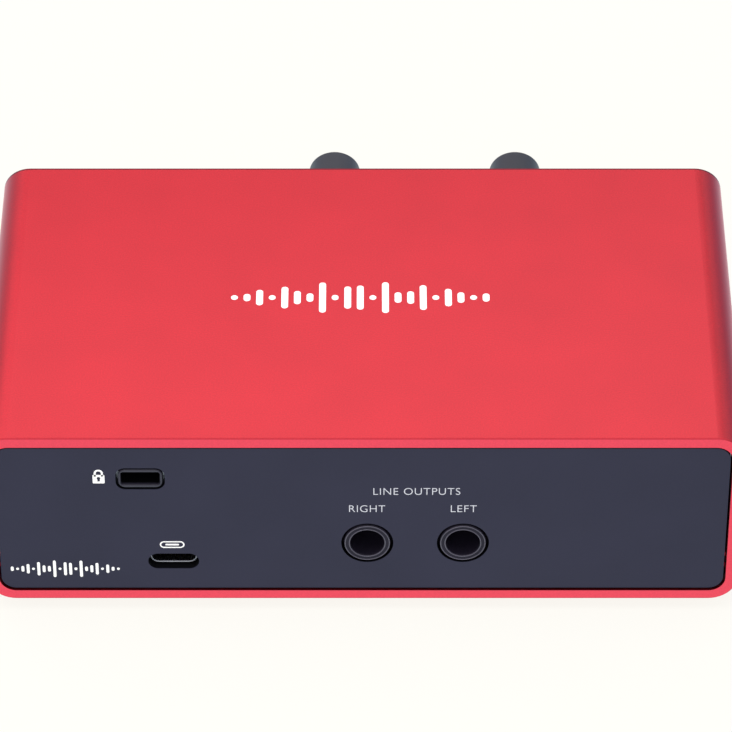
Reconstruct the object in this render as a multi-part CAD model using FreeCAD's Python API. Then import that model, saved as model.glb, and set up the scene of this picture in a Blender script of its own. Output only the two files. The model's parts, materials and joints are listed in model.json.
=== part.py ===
import FreeCAD, Part
import math
import os

# Compact desktop audio interface: an extruded aluminium sleeve on four rubber feet, closed at each end by a
# dark moulded fascia on a steel chassis plate. The front carries a three-pole microphone socket, an
# instrument jack, a headphone jack, two gain controls with light rings, a monitor control and four push
# buttons. The rear carries two output jacks, a reversible data port and a security lock slot.
# Frame: millimetres, +Z up, the front faces -Y and +X is to the right as seen from the front. The origin is
# on the surface the feet stand on, at the middle of the overall width and depth.
# Depths named near, far or depth are measured inwards from the lip of an end of the sleeve.

# ---------------------------------------------------------------- driving sizes: case and end panels
case_width = 143.5
case_height = 40.7
case_depth = 82.5
case_corner_radius = 5.5
case_wall = 2.25  # top and bottom
case_side_wall = 2.4
lip_chamfer = 0.25
control_reach = 13.3  # how far the knobs stand out of the front lip

foot_height = 2.8
foot_radius = 6.0
foot_taper = 0.5
foot_fillet = 0.8
foot_inset_x = 14.0
foot_inset_y = 13.0

panel_recess = 0.3
fascia_gap = 0.45
fascia_thickness = 2.0
plate_gap = 0.3
plate_thickness = 1.2
component_gap = 0.2  # between a chassis plate and the bodies behind it

screw_radius = 1.0
screw_head_radius = 1.4
screw_head_height = 0.5
screw_length = 8.0
screw_clearance = 0.02
screw_recess_width = 0.4
screw_recess_depth = 0.35
boss_radius = 1.75
boss_wall_distance = 1.95
boss_web_width = 2.6
boss_slot_width = 0.9
boss_side_distance = 3.9  # from the inner side wall to the screw axis

peg_radius = 1.2
peg_clearance = 0.05
rear_peg_margin = 9.0
rear_peg_spacing = 18.0

# ---------------------------------------------------------------- driving sizes: circuit boards
board_thickness = 1.6
board_floor_clearance = 4.1
board_side_clearance = 0.35
board_end_clearance = 0.4
rail_depth = 2.0
rail_thickness = 1.0
rail_clearance = 0.1
hole_clearance = 0.15
lead_length = 1.2  # of each lead below its board

control_board_depth = 14.0
board_notch_gap = 0.5  # around a socket that reaches past the edge of a board
control_board_lift = 0.4
control_board_head_gap = 1.6
control_board_right_reach = 12.0

spacer_radius = 2.2
spacer_head_radius = 1.9
spacer_head_height = 1.2
spacer_screw_length = 4.0

capacitor_height = 7.0
capacitor_radius = 3.15
capacitor_pitch = 8.4
capacitor_groove_depth = 0.3
capacitor_groove_height = 0.5
capacitor_groove_rise = 1.2
capacitor_side_offset = 5.0  # of the first column, to the left of the microphone socket's axis
inductor_size = 6.0
inductor_height = 3.0
inductor_pitch = 9.0
inductor_window_radius = 2.2
inductor_window_depth = 0.6
inductor_side_offset = 4.0
rear_row_depth = 14.0  # of the first row of capacitors and inductors
signal_chip_pitch = 9.0
signal_chip_advance = 5.0  # of the chips behind the middle of the sleeve
converter_offset = 16.0
converter_advance = 2.0
controller_advance = 14.0
crystal_width = 4.6
crystal_length = 11.0
crystal_height = 3.4
crystal_corner = 2.0
crystal_offset = 14.0
crystal_depth = 12.0
chip_standoff = 0.1
chip_leg_reach = 0.8
chip_leg_thickness = 0.25
chip_leg_share = 0.45  # width of a leg as a share of its pitch

header_pins = 5
header_pitch = 2.54
header_height = 2.5
header_depth = 2.5
header_pin_size = 0.64
header_axis_lift = 1.6

# ---------------------------------------------------------------- driving sizes: sockets
jack_bore_radius = 3.25
jack_bore_chamfer = 0.25
jack_bore_length = 15.0
jack_nose_radius = 4.4
jack_nose_gap = 0.55
jack_nose_bevel = 0.25
jack_axis_height = 6.3
jack_body_width = 13.0
jack_body_depth = 25.6
jack_cavity = 9.4
jack_rear_wall = 1.5
jack_exit_radius = 3.4
leaf_thickness = 0.4
leaf_width = 2.4
leaf_offset = 4.2
leaf_reach = 3.05
leaf_length = 4.4
lead_width = 1.0
lead_slot_clearance = 0.2

mic_bore_radius = 9.6
mic_bore_depth = 15.0
mic_nose_radius = 12.0
mic_nose_gap = 0.15
mic_nose_bevel = 0.6
mic_body_size = 24.4
mic_corner_cut = 1.0
mic_body_depth = 18.0
mic_insert_radius = 7.7
mic_insert_recess = 1.5
mic_insert_chamfer = 0.4
mic_key_width = 2.6
mic_key_depth = 1.0
mic_contact_circle = 4.7
mic_contact_radius = 1.6
mic_contact_wall = 0.35
mic_contact_length = 10.0
mic_pin_hole_radius = 1.3
mic_face_thickness = 1.0
mic_contact_clearance = 0.02
mic_tail_radius = 0.7
mic_tail_reach = 2.6
mic_screw_offset = 10.6
mic_screw_length = 7.0

port_width = 8.94
port_height = 3.26
port_wall = 0.3
port_length = 7.3
port_recess = 1.6  # behind the face of the fascia
port_hole_margin = 0.3
port_hole_extra_width = 0.16
port_tongue_width = 6.69
port_tongue_thickness = 0.7
port_tongue_length = 4.6
port_base_length = 1.6
port_contact_count = 12
port_contact_pitch = 0.5
port_contact_width = 0.26
port_contact_thickness = 0.06
port_tab_width = 1.2

lock_slot_width = 7.35
lock_slot_height = 3.1
lock_slot_corner = 0.5
lock_rim_width = 8.35
lock_rim_height = 4.4
lock_rim_corner = 1.4
lock_rim_gap = 0.45
lock_rim_bevel = 0.15
lock_flange_margin = 1.7
lock_flange_thickness = 1.2

# ---------------------------------------------------------------- driving sizes: controls
pot_width = 9.7
pot_height = 11.0
pot_thickness = 6.5
pot_bushing_radius = 3.5
pot_bushing_length = 4.6
pot_rotor_radius = 3.9
pot_rotor_thickness = 1.6
pot_cavity_clearance = 0.15
pot_front_wall = 0.8
pot_pin_radius = 0.5
pot_pin_pitch = 2.5
pot_pin_drop = 4.2
shaft_radius = 3.0
shaft_clearance = 0.05
shaft_flat = 1.5  # distance of the D flat from the axis
knob_fit = 0.03
knob_lift = 0.6  # between the fascia and the back of a knob
knob_front_wall = 2.4
shaft_end_gap = 0.4
gain_knob_base_radius = 5.55
gain_knob_face_radius = 5.15
gain_knob_fillet = 0.6
monitor_knob_base_radius = 9.8
monitor_knob_face_radius = 9.4
monitor_knob_fillet = 0.9
pointer_width = 0.9
pointer_depth = 0.5
pointer_inner_share = 0.25
pointer_rim_margin = 0.75

halo_inner_radius = 5.85
halo_outer_radius = 6.85
halo_gap = 0.05
halo_length = 4.5
halo_flange_radius = 7.45
halo_flange_thickness = 0.8
halo_leg_width = 2.6
halo_leg_thickness = 1.1
led_gap = 0.3

button_width = 6.4
button_height = 4.0
button_corner = 1.2
button_gap = 0.15
button_proud = 0.9
button_edge_fillet = 0.3
button_travel = 1.0
button_flange_margin = 0.6
button_flange_thickness = 0.8
button_flange_slack = 0.05
button_stem_radius = 1.6
button_stem_engagement = 0.5
switch_size = 6.0
switch_thickness = 3.6
switch_bore_clearance = 0.15
switch_bore_depth = 1.9

pipe_radius = 0.8
pipe_flange_radius = 1.3
pipe_flange_thickness = 0.7
led_width = 1.6
led_height = 0.8
led_thickness = 0.7

# ---------------------------------------------------------------- driving sizes: layout across the panels
mic_side_gap = 1.7
mic_halo_gap = 1.1
switch_jack_gap = 0.7
jack_switch_gap = 1.1
button_gap_across = 0.6
button_knob_gap = 0.6
board_jack_gap = 0.3
jack_boss_gap = 0.2
button_pair_offset = 4.4
gain_drop = 8.85  # from the inside of the top wall
button_rise = 9.9  # from the inside of the bottom wall
spacer_lift = 2.4  # above the gain controls
lock_margin = 27.23  # from the edge of the fascia beside the data port
lock_drop = 8.0
port_margin = 32.98
right_output_x = -0.94
output_spacing = 18.15

# Pieces across the front, from the left: name, least distance from the one before, and share of spare width.
FRONT_ROW = [
    ("mic", mic_side_gap + mic_body_size / 2, 0.11),
    ("mic_gain", mic_body_size / 2 + mic_halo_gap + halo_flange_radius, 0.014),
    ("instrument_jack", button_pair_offset + switch_size / 2 + switch_jack_gap + jack_body_width / 2, 0.135),
    ("instrument_gain", jack_body_width / 2 + jack_switch_gap + switch_size / 2, 0.284),
    ("direct_monitor", button_width + 2 * button_flange_margin + button_gap_across, 0.266),
    ("monitor", button_width / 2 + button_knob_gap + monitor_knob_base_radius, 0.071),
    ("headphone", control_board_right_reach + board_jack_gap + jack_body_width / 2, 0.102),
    ("right_edge", leaf_offset + leaf_thickness / 2 + jack_boss_gap + boss_radius + boss_side_distance, 0.018),
]

# ---------------------------------------------------------------- derived places
FRONT = "front"
REAR = "rear"
UP = FreeCAD.Vector(0, 0, 1)
INWARDS = FreeCAD.Vector(0, 1, 0)
ORIGIN = FreeCAD.Vector(0, 0, 0)

overall_depth = case_depth + control_reach
rear_lip = overall_depth / 2
front_lip = rear_lip - case_depth
case_bottom = foot_height
case_top = case_bottom + case_height
case_middle = (case_bottom + case_top) / 2
sleeve_middle_y = (front_lip + rear_lip) / 2
inner_half_width = case_width / 2 - case_side_wall
inner_floor = case_bottom + case_wall
inner_ceiling = case_top - case_wall
inner_corner_radius = case_corner_radius - case_wall
fascia_back = panel_recess + fascia_thickness
plate_back = fascia_back + plate_thickness
body_front = plate_back + component_gap
fascia_half_width = inner_half_width - fascia_gap

board_bottom = inner_floor + board_floor_clearance
board_top = board_bottom + board_thickness
board_half_width = inner_half_width - board_side_clearance
lead_end = board_bottom - lead_length

spare_width = 2 * fascia_half_width - sum(least for _, least, _ in FRONT_ROW)
across = {}
reached_x = -fascia_half_width
for row_name, least, share in FRONT_ROW:
    reached_x += least + share * spare_width
    across[row_name] = reached_x
mic_x = across["mic"]
mic_gain_x = across["mic_gain"]
instrument_jack_x = across["instrument_jack"]
instrument_gain_x = across["instrument_gain"]
direct_button_x = across["direct_monitor"]
monitor_x = across["monitor"]
headphone_x = across["headphone"]
left_output_x = right_output_x - output_spacing
lock_x = fascia_half_width - lock_margin
port_x = fascia_half_width - port_margin

mic_z = case_middle
jack_z = board_top + jack_axis_height
port_z = board_top + port_height / 2
gain_z = inner_ceiling - gain_drop
button_z = inner_floor + button_rise
spacer_z = gain_z + spacer_lift
status_light_z = (button_z + spacer_z) / 2
lock_z = inner_ceiling - lock_drop

control_board_left = mic_x + mic_body_size / 2 + board_notch_gap
control_board_right = monitor_x + control_board_right_reach
control_board_bottom = board_top + control_board_lift
control_board_top = inner_ceiling - control_board_head_gap
control_board_back = control_board_depth + board_thickness
pot_front = control_board_depth - pot_thickness
switch_front = control_board_depth - switch_thickness
led_front = control_board_depth - led_thickness
knob_back = panel_recess - knob_lift
knob_front = -control_reach
shaft_tip = knob_front + knob_front_wall + shaft_end_gap

BUTTONS = {
    "phantom": mic_gain_x - button_pair_offset,
    "presence": mic_gain_x + button_pair_offset,
    "instrument": instrument_gain_x,
    "direct_monitor": direct_button_x,
}
GAINS = {"mic_gain": mic_gain_x, "instrument_gain": instrument_gain_x}
JACKS = {
    "instrument_jack": (FRONT, instrument_jack_x),
    "headphone_jack": (FRONT, headphone_x),
    "right_output_jack": (REAR, right_output_x),
    "left_output_jack": (REAR, left_output_x),
}
BOSSES = [
    (side * (inner_half_width - boss_side_distance), z)
    for side in (-1, 1)
    for z in (inner_floor + boss_wall_distance, inner_ceiling - boss_wall_distance)
]
SPACERS = [
    (instrument_jack_x, spacer_z),
    (direct_button_x, spacer_z),
    (control_board_right - spacer_radius - board_notch_gap, button_z),
]
MIC_SCREWS = [
    (mic_x - mic_screw_offset, mic_z + mic_screw_offset),
    (mic_x + mic_screw_offset, mic_z - mic_screw_offset),
]
FRONT_PEGS = [
    (mic_x - mic_screw_offset, mic_z - mic_screw_offset),
    (mic_x + mic_screw_offset, mic_z + mic_screw_offset),
    ((instrument_gain_x + direct_button_x) / 2, case_middle),
    (headphone_x, gain_z),
]
REAR_PEGS = [
    (fascia_half_width - rear_peg_margin, case_middle),
    (port_x - rear_peg_spacing, case_middle),
    (left_output_x - rear_peg_spacing, case_middle),
    (-fascia_half_width + rear_peg_margin, case_middle),
]


# ---------------------------------------------------------------- shape helpers
def depth_span(end, near, far):
    """Y limits of what lies from near to far behind the lip of an end."""
    if end == FRONT:
        return front_lip + near, front_lip + far
    return rear_lip - far, rear_lip - near


def box(x_span, y_span, z_span):
    """Block between pairs of limits."""
    size = [high - low for low, high in (x_span, y_span, z_span)]
    return Part.makeBox(*size, FreeCAD.Vector(x_span[0], y_span[0], z_span[0]))


def centred(middle, size):
    """Limits of a length centred on a place."""
    return middle - size / 2, middle + size / 2


def rod(radius, y_span, x=0.0, z=0.0):
    """Cylinder along Y."""
    return Part.makeCylinder(radius, y_span[1] - y_span[0], FreeCAD.Vector(x, y_span[0], z), INWARDS)


def post(radius, z_span, x, y):
    """Cylinder along Z."""
    return Part.makeCylinder(radius, z_span[1] - z_span[0], FreeCAD.Vector(x, y, z_span[0]), UP)


def tube(outer, inner, y_span, x=0.0, z=0.0):
    """Hollow cylinder along Y."""
    return rod(outer, y_span, x, z).cut(rod(inner, y_span, x, z))


def flare(end, near, far, near_radius, far_radius, x, z):
    """Cone at an end, with one radius at each depth."""
    direction = INWARDS if end == FRONT else INWARDS * -1
    start = FreeCAD.Vector(x, depth_span(end, near, near)[0], z)
    return Part.makeCone(near_radius, far_radius, far - near, start, direction)


def rounded_bar(width, height, radius, y_span, x=0.0, z=0.0):
    """Bar along Y whose section is a rectangle with round corners, or a stadium."""
    half_width = width / 2 - radius
    half_height = height / 2 - radius
    corners = [(1, 1), (-1, 1), (-1, -1), (1, -1)]
    edges = []
    last = None
    first = None
    for quarter, (side, level) in enumerate(corners):
        centre_x = x + side * half_width
        centre_z = z + level * half_height
        points = []
        for step in range(3):
            angle = math.radians(90 * quarter + 45 * step)
            reach = FreeCAD.Vector(math.cos(angle) * radius, 0, math.sin(angle) * radius)
            points.append(FreeCAD.Vector(centre_x, y_span[0], centre_z) + reach)
        if last is None:
            first = points[0]
        elif last.distanceToPoint(points[0]) > 1e-6:
            edges.append(Part.LineSegment(last, points[0]).toShape())
        edges.append(Part.Arc(*points).toShape())
        last = points[2]
    if last.distanceToPoint(first) > 1e-6:
        edges.append(Part.LineSegment(last, first).toShape())
    face = Part.Face(Part.Wire(edges))
    return face.extrude(FreeCAD.Vector(0, y_span[1] - y_span[0], 0))


def fused(first, *others):
    """One solid from several that touch or overlap."""
    return first.fuse(list(others)).removeSplitter()


def cut_all(body, tools):
    """The body without any of the tools."""
    return body.cut(Part.makeCompound(list(tools)))


def edges_at_y(shape, y):
    """Edges that lie wholly in a plane across the Y axis."""
    return [e for e in shape.Edges if abs(e.BoundBox.YMin - y) < 1e-4 and abs(e.BoundBox.YMax - y) < 1e-4]


def at_end(shape, end, x, z):
    """Copy of a piece modelled about its own axis, with +Y inwards from the lip, put in its place at an end."""
    placed = shape.copy()
    if end == REAR:
        placed.rotate(ORIGIN, UP, 180)
    placed.translate(FreeCAD.Vector(x, front_lip if end == FRONT else rear_lip, z))
    return placed


def end_point(end, x, local_x, depth):
    """X and Y of a point that at_end would move with a piece."""
    if end == FRONT:
        return x + local_x, front_lip + depth
    return x - local_x, rear_lip - depth


def export(name, *solids):
    """Writes one node, checking that each of its solids is sound."""
    parts = [solid for shape in solids for solid in shape.Solids]
    for solid in parts:
        if not solid.isValid() or solid.Volume <= 0:
            raise ValueError("unsound solid in " + name)
    shape = parts[0] if len(parts) == 1 else Part.makeCompound(parts)
    shape.exportStep(os.path.join("parts", name + ".step"))
    print(name, len(parts), round(sum(solid.Volume for solid in parts), 1))


# ---------------------------------------------------------------- case
def make_sleeve():
    """Extruded tube with card rails and screw bosses, milled back at both ends to seat the chassis plates."""
    whole = (front_lip, rear_lip)
    milled = (front_lip + plate_back, rear_lip - plate_back)
    inner_height = inner_ceiling - inner_floor
    outer = rounded_bar(case_width, case_height, case_corner_radius, whole, 0, case_middle)
    hollow = rounded_bar(2 * inner_half_width, inner_height, inner_corner_radius, whole, 0, case_middle)
    outer = outer.makeChamfer(lip_chamfer, edges_at_y(outer, front_lip) + edges_at_y(outer, rear_lip))
    sleeve = outer.cut(hollow)
    inside = []
    for side in (-1, 1):
        rail_edge = side * (inner_half_width - rail_depth)
        rail_root = side * (inner_half_width + case_side_wall / 2)
        rail_x = sorted((rail_edge, rail_root))
        below = board_bottom - rail_clearance
        above = board_top + rail_clearance
        inside.append(box(rail_x, milled, (below - rail_thickness, below)))
        inside.append(box(rail_x, milled, (above, above + rail_thickness)))
    bores = []
    for x, z in BOSSES:
        low = z < case_middle
        wall_z = inner_floor - case_wall / 2 if low else inner_ceiling + case_wall / 2
        inside.append(rod(boss_radius, milled, x, z))
        inside.append(box(centred(x, boss_web_width), milled, sorted((wall_z, z))))
        bores.append(rod(screw_radius + screw_clearance, milled, x, z))
        slot_z = (z, z + boss_radius) if low else (z - boss_radius, z)
        bores.append(box(centred(x, boss_slot_width), milled, slot_z))
    return cut_all(fused(sleeve, *inside), bores)


def make_feet():
    """Four soft round feet glued under the corners."""
    feet = []
    sole_radius = foot_radius - foot_taper
    for x in (-case_width / 2 + foot_inset_x, case_width / 2 - foot_inset_x):
        for y in (front_lip + foot_inset_y, rear_lip - foot_inset_y):
            foot = Part.makeCone(sole_radius, foot_radius, foot_height, FreeCAD.Vector(x, y, 0), UP)
            ground = [e for e in foot.Edges if e.BoundBox.ZMax < 1e-4]
            feet.append(foot.makeFillet(foot_fillet, ground))
    return feet


def countersunk_screw(end, x, z, length):
    """Small countersunk screw whose head lies flush with the outer face of a chassis plate."""
    head = flare(end, fascia_back, fascia_back + screw_head_height, screw_head_radius, screw_radius, x, z)
    shank = rod(screw_radius, depth_span(end, fascia_back + screw_head_height, fascia_back + length), x, z)
    recess = depth_span(end, fascia_back, fascia_back + screw_recess_depth)
    cross = [
        box(centred(x, screw_radius * 2), recess, centred(z, screw_recess_width)),
        box(centred(x, screw_recess_width), recess, centred(z, screw_radius * 2)),
    ]
    return cut_all(fused(head, shank), cross)


def screw_hole(end, x, z):
    """Countersunk hole for such a screw through a chassis plate."""
    wide = screw_head_radius + screw_clearance
    narrow = screw_radius + screw_clearance
    sink = flare(end, fascia_back, fascia_back + screw_head_height, wide, narrow, x, z)
    return fused(sink, rod(narrow, depth_span(end, fascia_back, plate_back), x, z))


def make_plate(end, openings, screws, pegs):
    """Flat chassis plate that closes the sleeve behind a fascia."""
    width = 2 * (inner_half_width - plate_gap)
    height = inner_ceiling - inner_floor - 2 * plate_gap
    span = depth_span(end, fascia_back, plate_back)
    plate = rounded_bar(width, height, inner_corner_radius - plate_gap, span, 0, case_middle)
    holes = [screw_hole(end, x, z) for x, z in screws]
    holes += [rod(peg_radius + peg_clearance, span, x, z) for x, z in pegs]
    return cut_all(plate, openings + holes)


def make_fascia(end, openings, pegs):
    """Moulded dark panel with pegs that fit holes in its chassis plate."""
    width = 2 * fascia_half_width
    height = inner_ceiling - inner_floor - 2 * fascia_gap
    span = depth_span(end, panel_recess, fascia_back)
    panel = rounded_bar(width, height, inner_corner_radius - fascia_gap, span, 0, case_middle)
    panel = cut_all(panel, openings)
    return fused(panel, *[rod(peg_radius, depth_span(end, fascia_back, plate_back), x, z) for x, z in pegs])


def front_openings(span, plate):
    """Holes for the front sockets and controls, through the fascia, or wider ones through the plate."""
    extra = 0.15 if plate else 0.0
    holes = [rod(mic_nose_radius + mic_nose_gap + extra, span, mic_x, mic_z)]
    for x in (instrument_jack_x, headphone_x):
        holes.append(rod(jack_nose_radius + jack_nose_gap, span, x, jack_z))
    halo_radius = halo_flange_radius if plate else halo_outer_radius
    for x in GAINS.values():
        holes.append(rod(halo_radius + halo_gap + extra, span, x, gain_z))
    holes.append(rod(pot_bushing_radius + button_gap, span, monitor_x, case_middle))
    margin = 2 * (button_flange_margin + button_gap) if plate else 2 * button_gap
    corner = button_corner + margin / 2
    for x in BUTTONS.values():
        holes.append(rounded_bar(button_width + margin, button_height + margin, corner, span, x, button_z))
    pipe_hole = pipe_flange_radius if plate else pipe_radius
    holes.append(rod(pipe_hole + halo_gap + extra, span, direct_button_x, status_light_z))
    return holes


def rear_openings(span, plate):
    """Holes for the rear sockets and the lock slot."""
    holes = [rod(jack_nose_radius + jack_nose_gap, span, x, jack_z) for x in (right_output_x, left_output_x)]
    port_hole_height = port_height + 2 * port_hole_margin
    port_hole_width = port_width + 2 * port_hole_margin + port_hole_extra_width
    holes.append(rounded_bar(port_hole_width, port_hole_height, port_hole_height / 2, span, port_x, port_z))
    gap = screw_clearance if plate else lock_rim_gap
    lock_size = (lock_rim_width + 2 * gap, lock_rim_height + 2 * gap, lock_rim_corner + gap)
    holes.append(rounded_bar(*lock_size, span, lock_x, lock_z))
    return holes


def make_lock_insert():
    """Bevelled rim of the security slot, flush with the rear fascia, on a flange that bears on the plate."""
    rim_span = depth_span(REAR, panel_recess, plate_back)
    flange_span = depth_span(REAR, plate_back, plate_back + lock_flange_thickness)
    rim = rounded_bar(lock_rim_width, lock_rim_height, lock_rim_corner, rim_span, lock_x, lock_z)
    flange_width = lock_rim_width + 2 * lock_flange_margin
    flange_height = lock_rim_height + 2 * lock_flange_margin
    flange = rounded_bar(flange_width, flange_height, lock_rim_corner, flange_span, lock_x, lock_z)
    through = depth_span(REAR, panel_recess, plate_back + lock_flange_thickness)
    slot = rounded_bar(lock_slot_width, lock_slot_height, lock_slot_corner, through, lock_x, lock_z)
    insert = fused(rim, flange).cut(slot)
    return insert.makeChamfer(lock_rim_bevel, edges_at_y(insert, rear_lip - panel_recess))


# ---------------------------------------------------------------- sockets, modelled about their own axes
def jack_leaves():
    """Local side, start depth and name of the three leaf contacts of a jack."""
    cavity_start = panel_recess + jack_bore_length
    cavity_end = body_front + jack_body_depth - jack_rear_wall
    return [
        (-1, cavity_start + 0.3),
        (-1, cavity_start + 0.9 + leaf_length + lead_width),
        (1, cavity_end - 0.6 - leaf_length - lead_width),
    ]


def make_jack():
    """Quarter-inch jack: moulded body with a round nose, a guide bore and a cavity for the leaf contacts."""
    body_back = body_front + jack_body_depth
    floor = -jack_axis_height
    block = box(centred(0, jack_body_width), (body_front, body_back), (floor, jack_axis_height))
    nose = rod(jack_nose_radius, (panel_recess, body_front))
    nose = nose.makeChamfer(jack_nose_bevel, edges_at_y(nose, panel_recess))
    bore_end = panel_recess + jack_bore_length
    mouth_radius = jack_bore_radius + jack_bore_chamfer
    start = FreeCAD.Vector(0, panel_recess, 0)
    mouth = Part.makeCone(mouth_radius, jack_bore_radius, jack_bore_chamfer, start, INWARDS)
    cavity = box(centred(0, jack_cavity), (bore_end, body_back - jack_rear_wall), centred(0, jack_cavity))
    cuts = [rod(jack_bore_radius, (panel_recess, bore_end)), mouth, cavity]
    cuts.append(rod(jack_exit_radius, (body_back - jack_rear_wall, body_back)))
    for side, depth in jack_leaves():
        slot_x = centred(side * leaf_offset, leaf_thickness + 2 * lead_slot_clearance)
        slot_y = (depth - lead_slot_clearance, depth + lead_width + lead_slot_clearance)
        cuts.append(box(slot_x, slot_y, (floor, 0)))
    return cut_all(fused(block, nose), cuts)


def make_jack_contacts():
    """Three bent leaf springs with solder leads."""
    contacts = []
    half = leaf_thickness / 2
    for side, depth in jack_leaves():
        lead_x = centred(side * leaf_offset, leaf_thickness)
        lead = box(lead_x, (depth, depth + lead_width), (lead_end - jack_z, leaf_width / 2))
        along = depth + lead_width
        outline = [
            (leaf_offset - half, along - lead_width),
            (leaf_offset + half, along - lead_width),
            (leaf_offset + half, along),
            (leaf_reach + leaf_thickness, along + leaf_length * 0.6),
            (leaf_offset + half, along + leaf_length),
            (leaf_offset - half, along + leaf_length),
            (leaf_reach, along + leaf_length * 0.6),
            (leaf_offset - half, along),
        ]
        points = [FreeCAD.Vector(side * x, y, -leaf_width / 2) for x, y in outline]
        leaf = Part.Face(Part.makePolygon(points + points[:1])).extrude(FreeCAD.Vector(0, 0, leaf_width))
        contacts.append(fused(lead, leaf))
    return contacts


def mic_contacts_xz():
    """Local places of the three contacts, two above and one below."""
    angles = [math.radians(a) for a in (30, 150, 270)]
    return [(mic_contact_circle * math.cos(a), mic_contact_circle * math.sin(a)) for a in angles]


def make_mic_housing():
    """Square moulded body with a round nose and the bore that takes the plug's shell."""
    half = mic_body_size / 2
    body_back = body_front + mic_body_depth
    block = box((-half, half), (body_front, body_back), (-half, half))
    corners = [e for e in block.Edges if e.BoundBox.YLength > mic_body_depth / 2]
    block = block.makeChamfer(mic_corner_cut, corners)
    nose = rod(mic_nose_radius, (panel_recess, body_front))
    bore = rod(mic_bore_radius, (panel_recess, panel_recess + mic_bore_depth))
    start = FreeCAD.Vector(0, panel_recess, 0)
    mouth = Part.makeCone(mic_bore_radius + mic_nose_bevel, mic_bore_radius, mic_nose_bevel, start, INWARDS)
    cuts = [bore, mouth]
    for x, z in mic_contacts_xz():
        hole = mic_tail_radius + hole_clearance
        cuts.append(rod(hole, (panel_recess + mic_bore_depth, body_back), x, z))
    for x, z in MIC_SCREWS:
        screw_end = fascia_back + mic_screw_length + screw_clearance
        cuts.append(rod(screw_radius + screw_clearance, (body_front, screw_end), x - mic_x, z - mic_z))
    return cut_all(fused(block, nose), cuts)


def make_mic_insert():
    """Contact carrier: a keyed cylinder with three pin holes in its face."""
    front = panel_recess + mic_insert_recess
    back = panel_recess + mic_bore_depth
    carrier = rod(mic_insert_radius, (front, back))
    carrier = carrier.makeChamfer(mic_insert_chamfer, edges_at_y(carrier, front))
    key_floor = mic_insert_radius - mic_key_depth
    cuts = [box(centred(0, mic_key_width), (front, back), (key_floor, mic_insert_radius))]
    pocket = front + mic_face_thickness
    for x, z in mic_contacts_xz():
        cuts.append(rod(mic_pin_hole_radius, (front, pocket), x, z))
        cuts.append(rod(mic_contact_radius + mic_contact_clearance, (pocket, back), x, z))
    return cut_all(carrier, cuts)


def make_mic_contacts():
    """Three tubular contacts with tails that turn down to the main board."""
    front = panel_recess + mic_insert_recess + mic_face_thickness
    tube_end = front + mic_contact_length
    tail_end = body_front + mic_body_depth + mic_tail_reach
    contacts = []
    for x, z in mic_contacts_xz():
        barrel = rod(mic_contact_radius, (front, tube_end), x, z)
        hollow = rod(mic_contact_radius - mic_contact_wall, (front, tube_end - mic_tail_reach), x, z)
        tail = rod(mic_tail_radius, (tube_end, tail_end), x, z)
        leg_y = tail_end - mic_tail_radius
        leg = post(mic_tail_radius, (lead_end - mic_z, z), x, leg_y)
        contacts.append(fused(barrel.cut(hollow), tail, leg))
    return contacts


def port_mouth():
    """Depth of the front edge of the data port's shell."""
    return panel_recess + port_recess


def make_port_shell():
    """Seamless stadium shell with four tabs that are soldered into the main board."""
    span = depth_span(REAR, port_mouth(), port_mouth() + port_length)
    outer = rounded_bar(port_width, port_height, port_height / 2, span, port_x, port_z)
    bore_height = port_height - 2 * port_wall
    bore = rounded_bar(port_width - 2 * port_wall, bore_height, bore_height / 2, span, port_x, port_z)
    shell = outer.cut(bore)
    for side, depth in port_tabs():
        tab_x = centred(port_x + side * (port_width - port_wall) / 2, port_wall)
        tab_y = depth_span(REAR, depth, depth + port_tab_width)
        shell = fused(shell, box(tab_x, tab_y, (lead_end, port_z)))
    return shell


def port_tabs():
    """Side and depth of each tab of the data port's shell."""
    first = port_mouth() + port_recess + 1.0
    last = port_mouth() + port_length - port_tab_width - 0.3
    return [(side, depth) for side in (-1, 1) for depth in (first, last)]


def make_port_tongue():
    """Moulded tongue on a base that closes the back of the shell."""
    back = port_mouth() + port_length
    base_height = port_height - 2 * port_wall
    base_span = depth_span(REAR, back - port_base_length, back)
    base = rounded_bar(port_width - 2 * port_wall, base_height, base_height / 2, base_span, port_x, port_z)
    tongue_span = depth_span(REAR, back - port_base_length - port_tongue_length, back - port_base_length)
    tongue = box(centred(port_x, port_tongue_width), tongue_span, centred(port_z, port_tongue_thickness))
    return fused(base, tongue)


def make_port_contacts():
    """Two rows of flat contacts, one on each face of the tongue."""
    back = port_mouth() + port_length - port_base_length
    span = depth_span(REAR, back - port_tongue_length + 0.5, back)
    contacts = []
    for level in (-1, 1):
        face = port_z + level * port_tongue_thickness / 2
        z_span = sorted((face, face + level * port_contact_thickness))
        for index in range(port_contact_count):
            x = port_x + (index - (port_contact_count - 1) / 2) * port_contact_pitch
            contacts.append(box(centred(x, port_contact_width), span, z_span))
    return contacts


# ---------------------------------------------------------------- controls, modelled about their own axes
def make_pot():
    """Rotary potentiometer: square body, round bushing, rotor cavity and three board pins."""
    block = box(centred(0, pot_width), (pot_front, control_board_depth), centred(0, pot_height))
    bushing = rod(pot_bushing_radius, (pot_front - pot_bushing_length, pot_front))
    pin_span = (control_board_depth, control_board_back + lead_length)
    pins = [rod(pot_pin_radius, pin_span, n * pot_pin_pitch, -pot_pin_drop) for n in (-1, 0, 1)]
    cavity_front = pot_front + pot_front_wall
    cavity_back = cavity_front + pot_rotor_thickness + 2 * pot_cavity_clearance
    cuts = [rod(pot_rotor_radius + pot_cavity_clearance, (cavity_front, cavity_back))]
    cuts.append(rod(shaft_radius + shaft_clearance, (pot_front - pot_bushing_length, cavity_front)))
    return cut_all(fused(block, bushing, *pins), cuts)


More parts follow.
